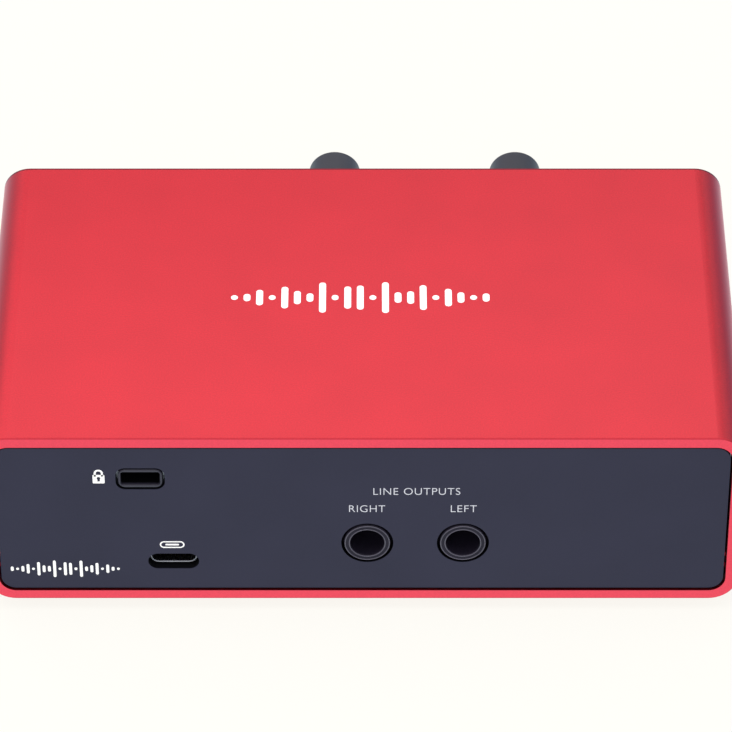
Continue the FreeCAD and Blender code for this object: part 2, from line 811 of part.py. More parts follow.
def make_shaft():
    """Rotor and shaft of a potentiometer, with a flat along the part that drives the knob."""
    rotor_front = pot_front + pot_front_wall + pot_cavity_clearance
    rotor = rod(pot_rotor_radius, (rotor_front, rotor_front + pot_rotor_thickness))
    shaft = rod(shaft_radius, (shaft_tip, rotor_front))
    flat = box((-shaft_radius, shaft_radius), (shaft_tip, knob_back), (-shaft_radius, -shaft_flat))
    return fused(rotor, shaft).cut(flat)


def pointer_slot(face_radius):
    """Radial bar at twelve o'clock in the face of a knob."""
    z_span = (face_radius * pointer_inner_share, face_radius - pointer_rim_margin)
    return box(centred(0, pointer_width), (knob_front, knob_front + pointer_depth), z_span)


def make_knob(base_radius, face_radius, fillet):
    """Slightly tapered knob with a D bore and a groove for its pointer."""
    start = FreeCAD.Vector(0, knob_back, 0)
    body = Part.makeCone(base_radius, face_radius, knob_back - knob_front, start, INWARDS * -1)
    body = body.makeFillet(fillet, edges_at_y(body, knob_front))
    bore_end = knob_front + knob_front_wall
    bore = rod(shaft_radius + knob_fit, (bore_end, knob_back))
    flat = box((-face_radius, face_radius), (bore_end, knob_back), (-face_radius, -shaft_flat - knob_fit))
    return cut_all(body, [bore.cut(flat), pointer_slot(face_radius)])


def make_halo():
    """Ring of light pipe around a gain knob, with a retaining flange and two legs that reach the LEDs."""
    ring = tube(halo_outer_radius, halo_inner_radius, (panel_recess, panel_recess + halo_length))
    flange = tube(halo_flange_radius, halo_inner_radius, (fascia_back, fascia_back + halo_flange_thickness))
    parts = [flange]
    for side in (-1, 1):
        leg_x = side * (halo_inner_radius + halo_outer_radius) / 2
        leg_y = (fascia_back, led_front - led_gap)
        parts.append(box(centred(leg_x, halo_leg_thickness), leg_y, centred(0, halo_leg_width)))
    bore = rod(halo_inner_radius, (panel_recess, panel_recess + halo_length))
    return fused(ring, *parts).cut(bore)


def make_button():
    """Push-button cap with a retaining flange and a stem that works its switch."""
    face = panel_recess - button_proud
    flange_front = fascia_back + button_flange_slack
    flange_back = flange_front + button_flange_thickness
    cap = rounded_bar(button_width, button_height, button_corner, (face, flange_front))
    cap = cap.makeFillet(button_edge_fillet, edges_at_y(cap, face))
    width = button_width + 2 * button_flange_margin
    height = button_height + 2 * button_flange_margin
    corner = button_corner + button_flange_margin
    flange = rounded_bar(width, height, corner, (flange_front, flange_back))
    stem = rod(button_stem_radius, (flange_back, switch_front + button_stem_engagement))
    return fused(cap, flange, stem)


def make_switch():
    """Square push switch that receives the button's stem."""
    block = box(centred(0, switch_size), (switch_front, control_board_depth), centred(0, switch_size))
    bore = rod(button_stem_radius + switch_bore_clearance, (switch_front, switch_front + switch_bore_depth))
    return block.cut(bore)


def make_light_pipe():
    """Round light pipe from an LED to the face of the fascia."""
    pipe = rod(pipe_radius, (panel_recess, led_front - led_gap))
    flange = rod(pipe_flange_radius, (fascia_back, fascia_back + pipe_flange_thickness))
    return fused(pipe, flange)


# ---------------------------------------------------------------- boards and what is on them
def lead_places():
    """X, Y and hole radius of every lead that passes through the main board."""
    places = []
    for end, x in JACKS.values():
        for side, depth in jack_leaves():
            places.append((*end_point(end, x, side * leaf_offset, depth + lead_width / 2), lead_width / 2))
    for x, _ in mic_contacts_xz():
        leg_depth = body_front + mic_body_depth + mic_tail_reach - mic_tail_radius
        places.append((*end_point(FRONT, mic_x, x, leg_depth), mic_tail_radius))
    for side, depth in port_tabs():
        x = port_x + side * (port_width - port_wall) / 2
        places.append((x, rear_lip - depth - port_tab_width / 2, port_tab_width / 2))
    for x in header_pins_x():
        places.append((x, header_leg_y(), header_pin_size * 0.7))
    return places


def make_main_board():
    """Main circuit board, held in the sleeve's card rails and notched around the microphone socket."""
    y_span = (front_lip + plate_back + board_end_clearance, rear_lip - plate_back - board_end_clearance)
    board = box((-board_half_width, board_half_width), y_span, (board_bottom, board_top))
    notch_y = depth_span(FRONT, plate_back, body_front + mic_body_depth + board_notch_gap)
    notch = box(centred(mic_x, mic_body_size + 2 * board_notch_gap), notch_y, (board_bottom, board_top))
    holes = [post(radius + hole_clearance, (board_bottom, board_top), x, y) for x, y, radius in lead_places()]
    return cut_all(board, [notch] + holes)


def make_control_board():
    """Upright board that carries the controls, notched around the instrument jack."""
    span = depth_span(FRONT, control_board_depth, control_board_back)
    board = box((control_board_left, control_board_right), span, (control_board_bottom, control_board_top))
    notch_width = jack_body_width + 2 * board_notch_gap
    notch_top = jack_z + jack_axis_height + board_notch_gap
    cuts = [box(centred(instrument_jack_x, notch_width), span, (control_board_bottom, notch_top))]
    for x, z in [(x, gain_z) for x in GAINS.values()] + [(monitor_x, case_middle)]:
        for n in (-1, 0, 1):
            cuts.append(rod(pot_pin_radius + hole_clearance, span, x + n * pot_pin_pitch, z - pot_pin_drop))
    for x, z in SPACERS:
        cuts.append(rod(screw_radius + screw_clearance, span, x, z))
    for x in header_pins_x():
        cuts.append(rod(header_pin_size * 0.7 + hole_clearance, span, x, header_axis_z()))
    return cut_all(board, cuts)


def header_pins_x():
    """X of each pin of the header that joins the two boards, under the monitor control."""
    return [monitor_x + (n - (header_pins - 1) / 2) * header_pitch for n in range(header_pins)]


def header_axis_z():
    """Height of the level part of the header pins."""
    return board_top + header_axis_lift


def header_leg_y():
    """Y of the upright part of the header pins."""
    return front_lip + control_board_back + component_gap + header_depth + header_pin_size


def make_header():
    """Plastic body of the board-to-board header."""
    front = front_lip + control_board_back + component_gap
    y_span = (front, front + header_depth)
    body = box(centred(monitor_x, header_pins * header_pitch), y_span, (board_top, board_top + header_height))
    pin_z = centred(header_axis_z(), header_pin_size)
    return cut_all(body, [box(centred(x, header_pin_size), y_span, pin_z) for x in header_pins_x()])


def make_header_pins():
    """Square pins bent down into the main board."""
    size = header_pin_size
    pins = []
    for x in header_pins_x():
        y_span = (front_lip + control_board_depth - lead_length / 2, header_leg_y() + size / 2)
        level = box(centred(x, size), y_span, centred(header_axis_z(), size))
        leg = box(centred(x, size), centred(header_leg_y(), size), (lead_end, header_axis_z()))
        pins.append(fused(level, leg))
    return pins


def make_spacers():
    """Round spacers that hold the control board off the front plate."""
    span = depth_span(FRONT, plate_back, control_board_depth)
    return [tube(spacer_radius, screw_radius + screw_clearance, span, x, z) for x, z in SPACERS]


def make_spacer_screws():
    """A countersunk screw in front of each spacer and a pan-head screw behind it."""
    head_span = depth_span(FRONT, control_board_back, control_board_back + spacer_head_height)
    shank_span = depth_span(FRONT, control_board_depth - spacer_screw_length, control_board_back)
    screws = []
    for x, z in SPACERS:
        screws.append(countersunk_screw(FRONT, x, z, plate_thickness + spacer_screw_length))
        screws.append(fused(rod(spacer_head_radius, head_span, x, z), rod(screw_radius, shank_span, x, z)))
    return screws


def make_leds():
    """Chip LEDs on the control board behind the status light and under both legs of each light ring."""
    places = [(direct_button_x, status_light_z)]
    ring_radius = (halo_inner_radius + halo_outer_radius) / 2
    for x in GAINS.values():
        places += [(x - ring_radius, gain_z), (x + ring_radius, gain_z)]
    span = depth_span(FRONT, led_front, control_board_depth)
    return [box(centred(x, led_width), span, centred(z, led_height)) for x, z in places]


def chip(x, y, width, depth, height, legs):
    """Flat chip package with a row of gull-wing legs along two sides, as one solid."""
    body = box(centred(x, width), centred(y, depth), (board_top + chip_standoff, board_top + height))
    pitch = width / (legs + 1)
    leg_z = (board_top, board_top + chip_leg_thickness)
    bars = []
    for n in range(legs):
        leg_x = centred(x - width / 2 + pitch * (n + 1), pitch * chip_leg_share)
        bars.append(box(leg_x, centred(y, depth + 2 * chip_leg_reach), leg_z))
    return fused(body, *bars)


def make_signal_chips():
    """Preamplifier and line-driver chips in a row behind the microphone socket."""
    y = sleeve_middle_y + signal_chip_advance
    return [chip(mic_x + signal_chip_pitch * (n + 0.25), y, 5.0, 4.0, 1.6, 4) for n in range(3)]


def make_capacitors():
    """Electrolytic capacitors, crimped near the foot."""
    groove = (board_top + capacitor_groove_rise, board_top + capacitor_groove_rise + capacitor_groove_height)
    cans = []
    for column in range(3):
        for row in range(2):
            x = mic_x - capacitor_side_offset + capacitor_pitch * column
            y = rear_lip - rear_row_depth - capacitor_pitch * row
            can = post(capacitor_radius, (board_top, board_top + capacitor_height), x, y)
            core = post(capacitor_radius - capacitor_groove_depth, groove, x, y)
            cans.append(can.cut(post(capacitor_radius + 1, groove, x, y).cut(core)))
    return cans


def make_inductors():
    """Shielded power inductors with a round winding window."""
    top = board_top + inductor_height
    x = headphone_x - inductor_side_offset
    coils = []
    for row in range(2):
        y = rear_lip - rear_row_depth - inductor_pitch * row
        block = box(centred(x, inductor_size), centred(y, inductor_size), (board_top, top))
        coils.append(block.cut(post(inductor_window_radius, (top - inductor_window_depth, top), x, y)))
    return coils


def make_crystal():
    """Low metal-can crystal with round corners."""
    x_span = centred(port_x - crystal_offset, crystal_width)
    y_span = centred(rear_lip - crystal_depth, crystal_length)
    can = box(x_span, y_span, (board_top, board_top + crystal_height))
    return can.makeFillet(crystal_corner, [e for e in can.Edges if e.BoundBox.ZLength > crystal_height / 2])


# ---------------------------------------------------------------- build
os.makedirs("parts", exist_ok=True)

export("case_sleeve", make_sleeve())
export("rubber_feet", *make_feet())

front_fascia_span = depth_span(FRONT, panel_recess, fascia_back)
front_plate_span = depth_span(FRONT, fascia_back, plate_back)
front_screws = BOSSES + MIC_SCREWS + SPACERS
export("front_fascia", make_fascia(FRONT, front_openings(front_fascia_span, False), FRONT_PEGS))
front_plate = make_plate(FRONT, front_openings(front_plate_span, True), front_screws, FRONT_PEGS)
export("front_chassis_plate", front_plate)
export("front_plate_screws", *[countersunk_screw(FRONT, x, z, screw_length) for x, z in BOSSES])

rear_fascia_span = depth_span(REAR, panel_recess, fascia_back)
rear_plate_span = depth_span(REAR, fascia_back, plate_back)
export("rear_fascia", make_fascia(REAR, rear_openings(rear_fascia_span, False), REAR_PEGS))
export("rear_chassis_plate", make_plate(REAR, rear_openings(rear_plate_span, True), BOSSES, REAR_PEGS))
export("rear_plate_screws", *[countersunk_screw(REAR, x, z, screw_length) for x, z in BOSSES])
export("lock_slot_insert", make_lock_insert())

jack = make_jack()
jack_contacts = make_jack_contacts()
for name, (end, x) in JACKS.items():
    export(name, at_end(jack, end, x, jack_z))
    export(name + "_contacts", *[at_end(contact, end, x, jack_z) for contact in jack_contacts])

export("mic_socket_housing", at_end(make_mic_housing(), FRONT, mic_x, mic_z))
export("mic_socket_insert", at_end(make_mic_insert(), FRONT, mic_x, mic_z))
export("mic_socket_contacts", *[at_end(contact, FRONT, mic_x, mic_z) for contact in make_mic_contacts()])
export("mic_socket_screws", *[countersunk_screw(FRONT, x, z, mic_screw_length) for x, z in MIC_SCREWS])

export("data_port_shell", make_port_shell())
export("data_port_tongue", make_port_tongue())
export("data_port_contacts", *make_port_contacts())

gain_knob = make_knob(gain_knob_base_radius, gain_knob_face_radius, gain_knob_fillet)
monitor_knob = make_knob(monitor_knob_base_radius, monitor_knob_face_radius, monitor_knob_fillet)
for name, x in GAINS.items():
    export(name + "_pot", at_end(make_pot(), FRONT, x, gain_z))
    export(name + "_shaft", at_end(make_shaft(), FRONT, x, gain_z))
    export(name + "_knob", at_end(gain_knob, FRONT, x, gain_z))
    export(name + "_pointer", at_end(pointer_slot(gain_knob_face_radius), FRONT, x, gain_z))
    export(name + "_halo", at_end(make_halo(), FRONT, x, gain_z))
export("monitor_pot", at_end(make_pot(), FRONT, monitor_x, case_middle))
export("monitor_shaft", at_end(make_shaft(), FRONT, monitor_x, case_middle))
export("monitor_knob", at_end(monitor_knob, FRONT, monitor_x, case_middle))
export("monitor_pointer", at_end(pointer_slot(monitor_knob_face_radius), FRONT, monitor_x, case_middle))

for name, x in BUTTONS.items():
    export(name + "_button", at_end(make_button(), FRONT, x, button_z))
    export(name + "_switch", at_end(make_switch(), FRONT, x, button_z))
export("status_light_pipe", at_end(make_light_pipe(), FRONT, direct_button_x, status_light_z))
export("indicator_leds", *make_leds())

export("main_board", make_main_board())
export("control_board", make_control_board())
export("control_board_spacers", *make_spacers())
export("control_board_screws", *make_spacer_screws())
export("board_link_header", make_header())
export("board_link_pins", *make_header_pins())
controller_y = sleeve_middle_y + controller_advance
converter_y = sleeve_middle_y + converter_advance
export("data_controller_chip", chip(port_x, controller_y, 12.0, 12.0, 1.3, 16))
export("audio_converter_chip", chip(port_x - converter_offset, converter_y, 9.0, 7.0, 1.2, 12))
export("signal_chips", *make_signal_chips())
export("electrolytic_capacitors", *make_capacitors())
export("power_inductors", *make_inductors())
export("clock_crystal", make_crystal())
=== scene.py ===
"""Looks of a compact desktop audio interface: a red anodised sleeve with slate end fascias.

The CAD nodes keep their shapes and get procedural materials. Knobs, feet, beads, prints and the label on
the underside are pieces made here, placed from the boxes of the CAD nodes. Everything is in metres.
"""
import json
import math
import bmesh
import bpy
from mathutils import Matrix, Vector


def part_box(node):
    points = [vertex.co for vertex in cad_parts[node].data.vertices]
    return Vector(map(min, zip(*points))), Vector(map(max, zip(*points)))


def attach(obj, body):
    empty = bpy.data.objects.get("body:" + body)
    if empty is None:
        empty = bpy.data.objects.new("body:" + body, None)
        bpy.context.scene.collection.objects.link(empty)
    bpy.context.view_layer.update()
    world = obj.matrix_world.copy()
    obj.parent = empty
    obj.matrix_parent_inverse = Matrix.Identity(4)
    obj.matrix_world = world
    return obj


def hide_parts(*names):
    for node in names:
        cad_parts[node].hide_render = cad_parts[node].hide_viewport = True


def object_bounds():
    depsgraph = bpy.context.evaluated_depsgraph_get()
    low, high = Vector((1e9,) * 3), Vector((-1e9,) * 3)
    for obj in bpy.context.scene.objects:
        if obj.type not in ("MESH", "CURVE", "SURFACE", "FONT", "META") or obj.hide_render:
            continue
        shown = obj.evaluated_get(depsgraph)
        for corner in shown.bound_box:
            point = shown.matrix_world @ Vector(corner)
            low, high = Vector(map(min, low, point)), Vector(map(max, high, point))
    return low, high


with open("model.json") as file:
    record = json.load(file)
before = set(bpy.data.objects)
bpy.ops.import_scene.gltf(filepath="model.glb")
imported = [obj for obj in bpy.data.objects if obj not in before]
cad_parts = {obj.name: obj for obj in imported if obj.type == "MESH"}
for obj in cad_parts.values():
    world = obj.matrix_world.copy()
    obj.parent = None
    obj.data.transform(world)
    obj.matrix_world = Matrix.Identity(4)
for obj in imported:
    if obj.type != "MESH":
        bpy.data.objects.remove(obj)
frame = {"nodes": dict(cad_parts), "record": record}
cad_low, cad_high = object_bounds()
nodes = frame["nodes"]
MM = 0.001

# ---------------------------------------------------------------- places worked out from the frame
sleeve_low, sleeve_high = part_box("case_sleeve")
rear_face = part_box("rear_fascia")[1].y
front_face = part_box("front_fascia")[0].y
top_face = sleeve_high.z
under_face = sleeve_low.z
REAR, FRONT, TOP, UNDER = "rear", "front", "top", "under"
FACING = {
    REAR: Matrix(((-1, 0, 0), (0, 0, 1), (0, 1, 0))),
    FRONT: Matrix(((1, 0, 0), (0, 0, -1), (0, 1, 0))),
    TOP: Matrix(((1, 0, 0), (0, 1, 0), (0, 0, 1))),
    UNDER: Matrix(((1, 0, 0), (0, -1, 0), (0, 0, -1))),
}
PRINT_THICKNESS = 0.03 * MM


def middle(node):
    """Centre of a CAD node's box."""
    low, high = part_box(node)
    return (low + high) / 2


def on_face(face, across, along):
    """Point on a face of the case: across is X, along is Z on the ends and Y on the other faces."""
    if face == REAR:
        return Vector((across, rear_face, along))
    if face == FRONT:
        return Vector((across, front_face, along))
    return Vector((across, along, top_face if face == TOP else under_face))


# ---------------------------------------------------------------- materials
MASK_BLUR = 0.05 * MM  # half the width over which one look passes into another


class Surface:
    """A node-based material around one Principled shader, textured in the object's own coordinates."""

    def __init__(self, name, roughness, **sockets):
        self.material = bpy.data.materials.new(name)
        self.material.use_nodes = True
        self.tree = self.material.node_tree
        self.shader = self.tree.nodes["Principled BSDF"]
        self.shader.inputs["Roughness"].default_value = roughness
        for socket, value in sockets.items():
            self.shader.inputs[socket.replace("_", " ")].default_value = value
        self.coordinates = self.add("ShaderNodeTexCoord").outputs["Object"]
        self.normal = None

    def add(self, kind, **settings):
        """A new node with some of its properties set."""
        node = self.tree.nodes.new(kind)
        for key, value in settings.items():
            setattr(node, key, value)
        return node

    def link(self, source, target):
        """Joins two sockets."""
        self.tree.links.new(source, target)

    def noise(self, size, detail=3.0, stretch=(1, 1, 1)):
        """Noise whose features are about this many metres across, drawn out along an axis by stretch."""
        mapping = self.add("ShaderNodeMapping")
        mapping.inputs["Scale"].default_value = [1 / (size * s) for s in stretch]
        texture = self.add("ShaderNodeTexNoise")
        texture.inputs["Scale"].default_value = 1.0
        texture.inputs["Detail"].default_value = detail
        self.link(self.coordinates, mapping.inputs["Vector"])
        self.link(mapping.outputs["Vector"], texture.inputs["Vector"])
        return texture.outputs["Fac"]

    def spread(self, value, low, high, start=0.3, end=0.7):
        """Value that goes from low to high as another goes from start to end."""
        spread = self.add("ShaderNodeMapRange")
        for socket, number in zip(("From Min", "From Max", "To Min", "To Max"), (start, end, low, high)):
            spread.inputs[socket].default_value = number
        self.link(value, spread.inputs["Value"])
        return spread.outputs["Result"]

    def mixed(self, factor, first, second, blend="MIX"):
        """Colour between two, each a colour or a socket."""
        mix = self.add("ShaderNodeMix", data_type="RGBA", blend_type=blend)
        for name, value in (("A", first), ("B", second)):
            socket = [s for s in mix.inputs if s.name == name and s.type == "RGBA"][0]
            if isinstance(value, tuple):
                socket.default_value = (*value, 1.0)
            else:
                self.link(value, socket)
        if isinstance(factor, float):
            mix.inputs["Factor"].default_value = factor
        else:
            self.link(factor, mix.inputs["Factor"])
        return [s for s in mix.outputs if s.type == "RGBA"][0]

    def colour(self, socket):
        """Uses a socket as the base colour."""
        self.link(socket, self.shader.inputs["Base Color"])

    def roughness(self, socket):
        """Uses a socket as the roughness."""
        self.link(socket, self.shader.inputs["Roughness"])

    def bump(self, height, distance, strength=1.0):
        """Adds relief from a height socket, on top of any relief so far."""
        bump = self.add("ShaderNodeBump")
        bump.inputs["Distance"].default_value = distance
        bump.inputs["Strength"].default_value = strength
        self.link(height, bump.inputs["Height"])
        if self.normal is not None:
            self.link(self.normal, bump.inputs["Normal"])
        self.normal = bump.outputs["Normal"]
        self.link(self.normal, self.shader.inputs["Normal"])

    def along(self, axis):
        """The surface's own coordinate along an axis."""
        split = self.add("ShaderNodeSeparateXYZ")
        self.link(self.coordinates, split.inputs["Vector"])
        return split.outputs[axis]

    def past(self, axis, level):
        """One where the surface lies past a level along an axis, otherwise zero."""
        return self.spread(self.along(axis), 0.0, 1.0, level - MASK_BLUR, level + MASK_BLUR)

    def beyond(self, axis, centre, reach):
        """One where the surface lies further than reach from a plane across an axis, otherwise zero."""
        offset = self.add("ShaderNodeMath", operation="SUBTRACT")
        self.link(self.along(axis), offset.inputs[0])
        offset.inputs[1].default_value = centre
        size = self.add("ShaderNodeMath", operation="ABSOLUTE")
        self.link(offset.outputs[0], size.inputs[0])
        return self.spread(size.outputs[0], 0.0, 1.0, reach - MASK_BLUR, reach + MASK_BLUR)


def tinted(colour, factor):
    """Colour made lighter or darker."""
    return tuple(min(1.0, c * factor) for c in colour)


def anodised():
    """Red anodised aluminium, fine blasted, with smoother machined lips.

    It has a painted contact shadow on the underside and a thin painted shade line along the front edge.
    """
    red = (0.85, 0.03, 0.052)
    lip_depth, painted_edge_shade_width, painted_shadow_rise = 0.15 * MM, 0.65 * MM, 0.4 * MM
    s = Surface(
        "red_anodised_aluminium", 0.42, Metallic=1.0, Coat_Weight=0.62, Coat_Roughness=0.3, Coat_IOR=1.5
    )
    grain = s.noise(0.3 * MM, detail=4.0)
    cloud = s.noise(14.0 * MM, detail=2.0)
    fine = s.mixed(s.spread(grain, 0.0, 1.0), tinted(red, 0.9), tinted(red, 1.05))
    tone = s.mixed(s.spread(cloud, 0.0, 1.0), (0.95, 0.95, 0.95), (1.0, 1.0, 1.0))
    half_length = (sleeve_high.y - sleeve_low.y) / 2
    lip = s.beyond("Y", (sleeve_high.y + sleeve_low.y) / 2, half_length - lip_depth)
    # painted shade: a thin dark line along the front edge, standing in for a rounded edge reflecting dim
    # surroundings
    tone = s.mixed(s.past("Y", sleeve_low.y + painted_edge_shade_width), (0.32, 0.4, 0.55), tone)
    tone = s.mixed(lip, tone, (0.84, 0.95, 0.97))
    # painted contact shadow: the underside and the lowest strip of the sides are darker
    tone = s.mixed(s.past("Z", sleeve_low.z + painted_shadow_rise), (0.6, 0.74, 0.8), tone)
    s.colour(s.mixed(1.0, fine, tone, "MULTIPLY"))
    s.roughness(s.mixed(lip, s.spread(grain, 0.38, 0.47), (0.34, 0.34, 0.34)))
    s.bump(grain, 0.014 * MM, 0.5)
    return s.material


def painted_panel():
    """Slate paint on the face; holes and edges deeper than the paint are painted near black as shade in the
    recesses.
    """
    s = Surface("slate_fascia", 0.42)
    s.shader.inputs["Specular IOR Level"].default_value = 0.13
    painted_shade_depth = 0.12 * MM
    cells = s.noise(0.25 * MM, detail=3.0)
    cloud = s.noise(18.0 * MM, detail=2.0)
    paint = s.mixed(s.spread(cloud, 0.0, 1.0), tinted(SLATE, 0.93), tinted(SLATE, 1.07))
    paint = s.mixed(s.spread(cells, 0.0, 0.35), paint, tinted(SLATE, 1.3))
    face = s.beyond("Y", (front_face + rear_face) / 2, (rear_face - front_face) / 2 - painted_shade_depth)
    # painted shade: near black on every surface deeper than the paint layer behind the face
    s.colour(s.mixed(face, (0.003, 0.003, 0.004), paint))
    s.roughness(s.spread(cells, 0.39, 0.46))
    s.bump(cells, 0.004 * MM, 0.7)
    return s.material


def moulded(name, colour, roughness, grain=0.3, relief=0.006, painted_shade_inside=False, **sockets):
    """Moulded plastic or rubber with a fine spark-eroded grain, slight mottling and uneven gloss.

    Optionally it is painted nearly black deeper than a thin layer behind the rear face: painted shade
    inside a recess.
    """
    tone, unshaded_depth = 0.12, 0.7 * MM
    s = Surface(name, roughness, **sockets)
    cells = s.noise(grain * MM, detail=3.0)
    cloud = s.noise(9.0 * MM, detail=2.0)
    mottled = s.mixed(s.spread(cloud, 0.0, 1.0), tinted(colour, 1 - tone), tinted(colour, 1 + tone))
    speckled = s.mixed(s.spread(cells, 0.0, 0.35), mottled, tinted(colour, 1 + 2 * tone))
    # painted shade: nearly black deeper than a thin layer behind the rear face
    if painted_shade_inside:
        speckled = s.mixed(s.past("Y", rear_face - unshaded_depth), tinted(colour, 0.1), speckled)
    s.colour(speckled)
    s.roughness(s.spread(cells, roughness * 0.9, roughness * 1.12))
    s.bump(cells, relief * MM, 0.7)
    return s.material


def metal(name, colour, roughness, stretch=(1, 1, 1), tone=0.1, metallic=1.0):
    """Bare or plated metal with brushing or fine grain and a slight tarnish."""
    grain, relief = 0.12 * MM, 0.002 * MM
    s = Surface(name, roughness, Metallic=metallic)
    lines = s.noise(grain, detail=2.0, stretch=stretch)
    tarnish = s.noise(4.0 * MM, detail=4.0)
    s.colour(s.mixed(s.spread(tarnish, 0.0, 1.0), tinted(colour, 1 - 2 * tone), tinted(colour, 1 + tone)))
    s.roughness(s.spread(lines, roughness * 0.75, roughness * 1.3))
    s.bump(lines, relief, 0.6)
    return s.material


def ink(name, colour):
    """Pad-printed ink, slightly uneven in thickness."""
    s = Surface(name, 0.5)
    cells = s.noise(0.12 * MM, detail=2.0)
    s.colour(s.mixed(s.spread(cells, 0.0, 1.0), tinted(colour, 0.9), tinted(colour, 1.04)))
    s.bump(cells, 0.004 * MM, 0.5)
    return s.material


def diffuser():
    """Milky light pipe, unlit, with a faint cloudiness."""
    s = Surface("milky_diffuser", 0.35, Transmission_Weight=0.25, Subsurface_Weight=0.3, Coat_Weight=0.2)
    s.shader.inputs["Subsurface Radius"].default_value = [0.6 * MM] * 3
    cloud = s.noise(0.8 * MM, detail=2.0)
    s.colour(s.mixed(s.spread(cloud, 0.0, 1.0), (0.42, 0.43, 0.45), (0.55, 0.56, 0.58)))
    s.bump(s.noise(0.2 * MM), 0.003 * MM, 0.5)
    return s.material


def laminate():
    """Green solder mask over a faint woven glass cloth, with copper areas just showing."""
    s = Surface("board_laminate", 0.35, Coat_Weight=0.3)
    copper = s.noise(3.0 * MM, detail=1.0)
    s.colour(s.mixed(s.spread(copper, 0.0, 1.0, 0.47, 0.53), (0.006, 0.07, 0.035), (0.012, 0.13, 0.06)))
    s.bump(s.noise(0.5 * MM, stretch=(1, 4, 1)), 0.004 * MM, 0.5)
    return s.material


SLATE = (0.0212, 0.0208, 0.0378)
MATERIALS = {
    "anodised_aluminium": anodised(),
    "fascia_plastic": painted_panel(),
    "plate_steel": metal("zinc_plated_steel", (0.42, 0.43, 0.44), 0.35, stretch=(8, 1, 1)),
    "screw_steel": metal("screw_steel", (0.38, 0.38, 0.4), 0.3),
    "foot_rubber": moulded("foot_rubber", (0.017, 0.017, 0.018), 0.78, grain=0.2, relief=0.02),
    "socket_plastic": moulded(
        "socket_plastic", (0.011, 0.009, 0.016), 0.3, grain=0.2, relief=0.003, Specular_IOR_Level=0.11
    ),
    "contact_metal": metal("plated_contacts", (0.75, 0.6, 0.32), 0.25),
    "port_metal": metal("nickel_port_shell", (0.5, 0.5, 0.52), 0.25, stretch=(1, 10, 1)),
    # the lock slot's inside carries painted shade
    "lock_metal": moulded(
        "coated_lock_rim", (0.02, 0.018, 0.028), 0.35, grain=0.15, painted_shade_inside=True, Specular_IOR_Level=0.35
    ),
    "knob_plastic": moulded("soft_slate_knob", (0.034, 0.033, 0.044), 0.42, grain=0.15, relief=0.003),
    "pointer_plastic": ink("pointer_inlay", (0.78, 0.78, 0.76)),
    "halo_diffuser": diffuser(),
    "button_plastic": moulded("button_plastic", (0.055, 0.056, 0.07), 0.42, grain=0.12),
    "pot_body": moulded("pot_body", (0.02, 0.06, 0.035), 0.5),
    "shaft_metal": metal("turned_shaft", (0.62, 0.62, 0.64), 0.28, stretch=(1, 0.5, 1)),
    "switch_plastic": moulded("switch_plastic", (0.02, 0.02, 0.02), 0.45),
    "board_laminate": laminate(),
    "chip_epoxy": moulded("chip_epoxy", (0.018, 0.018, 0.018), 0.5, grain=0.1),
    "capacitor_can": metal("capacitor_can", (0.62, 0.62, 0.65), 0.3),
    "ferrite": moulded("ferrite", (0.05, 0.05, 0.052), 0.7, grain=0.15, relief=0.01),
    "led_epoxy": moulded("led_resin", (0.75, 0.72, 0.55), 0.25, grain=0.4, Transmission_Weight=0.3),
    "light_pipe": moulded("clear_light_pipe", (0.55, 0.57, 0.6), 0.2, grain=0.5, Transmission_Weight=0.6),
}
WHITE_INK = ink("white_print", (0.9, 0.89, 0.87))
GREY_INK = ink("grey_print", (0.56, 0.56, 0.61))
ROLLED_LIP = metal("rolled_port_lip", (0.45, 0.45, 0.48), 0.3, metallic=0.7)
# lighter plastic for the jack beads: painted highlight rings along their edges
HIGHLIGHT_PLASTIC = moulded("painted_highlight_socket_edge", (0.06, 0.053, 0.072), 0.3, grain=0.2, relief=0.002)
LABEL_FILM = metal("label_film", (0.33, 0.34, 0.36), 0.45, stretch=(12, 1, 1), tone=0.02)

for entry in frame["record"]["subparts"]:
    mesh = nodes[entry["node"]].data
    mesh.materials.clear()
    mesh.materials.append(MATERIALS[entry["material_slot"]])


# ---------------------------------------------------------------- making pieces
def finished(name, mesh, material, body="chassis", sharp=35):
    """Puts a mesh in the scene as a smooth-shaded piece on a body."""
    piece = bpy.data.objects.new(name, mesh)
    bpy.context.scene.collection.objects.link(piece)
    mesh.shade_smooth()
    mesh.set_sharp_from_angle(angle=math.radians(sharp))
    mesh.materials.append(material)
    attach(piece, body)
    return piece


def around(centre, radius, degrees):
    """Point on a circle in the plane of a profile or an outline."""
    angle = math.radians(degrees)
    return centre[0] + radius * math.cos(angle), centre[1] + radius * math.sin(angle)


def arc(centre, radius, start, end, steps=8):
    """Points on an arc, with angles in degrees."""
    return [around(centre, radius, start + (end - start) * step / steps) for step in range(steps + 1)]


def turned(bm, profile, place, axis, segments=96):
    """Adds a closed solid of revolution about an axis through a place.

    Profile points are (radius, distance along the axis), the first and last with no radius.
    """
    axis = Vector(axis)
    side = Vector((1, 0, 0)) if abs(axis.x) < 0.5 else Vector((0, 1, 0))
    other = axis.cross(side)
    rings = []
    for radius, along in profile:
        centre = Vector(place) + axis * along
        if radius == 0:
            rings.append([bm.verts.new(centre)])
            continue
        ring = []
        for n in range(segments):
            angle = 2 * math.pi * n / segments
            ring.append(bm.verts.new(centre + (side * math.cos(angle) + other * math.sin(angle)) * radius))
        rings.append(ring)
    for near, far in zip(rings, rings[1:]):
        for n in range(segments):
            m = (n + 1) % segments
            corners = [near[n % len(near)], near[m % len(near)], far[m % len(far)], far[n % len(far)]]
            unique = list(dict.fromkeys(corners))
            bm.faces.new(unique)


def mesh_of(bm, name):
    """Mesh from a bmesh, with its faces turned outwards."""
    bmesh.ops.recalc_face_normals(bm, faces=bm.faces)
    mesh = bpy.data.meshes.new(name)
    bm.to_mesh(mesh)
    bm.free()
    return mesh


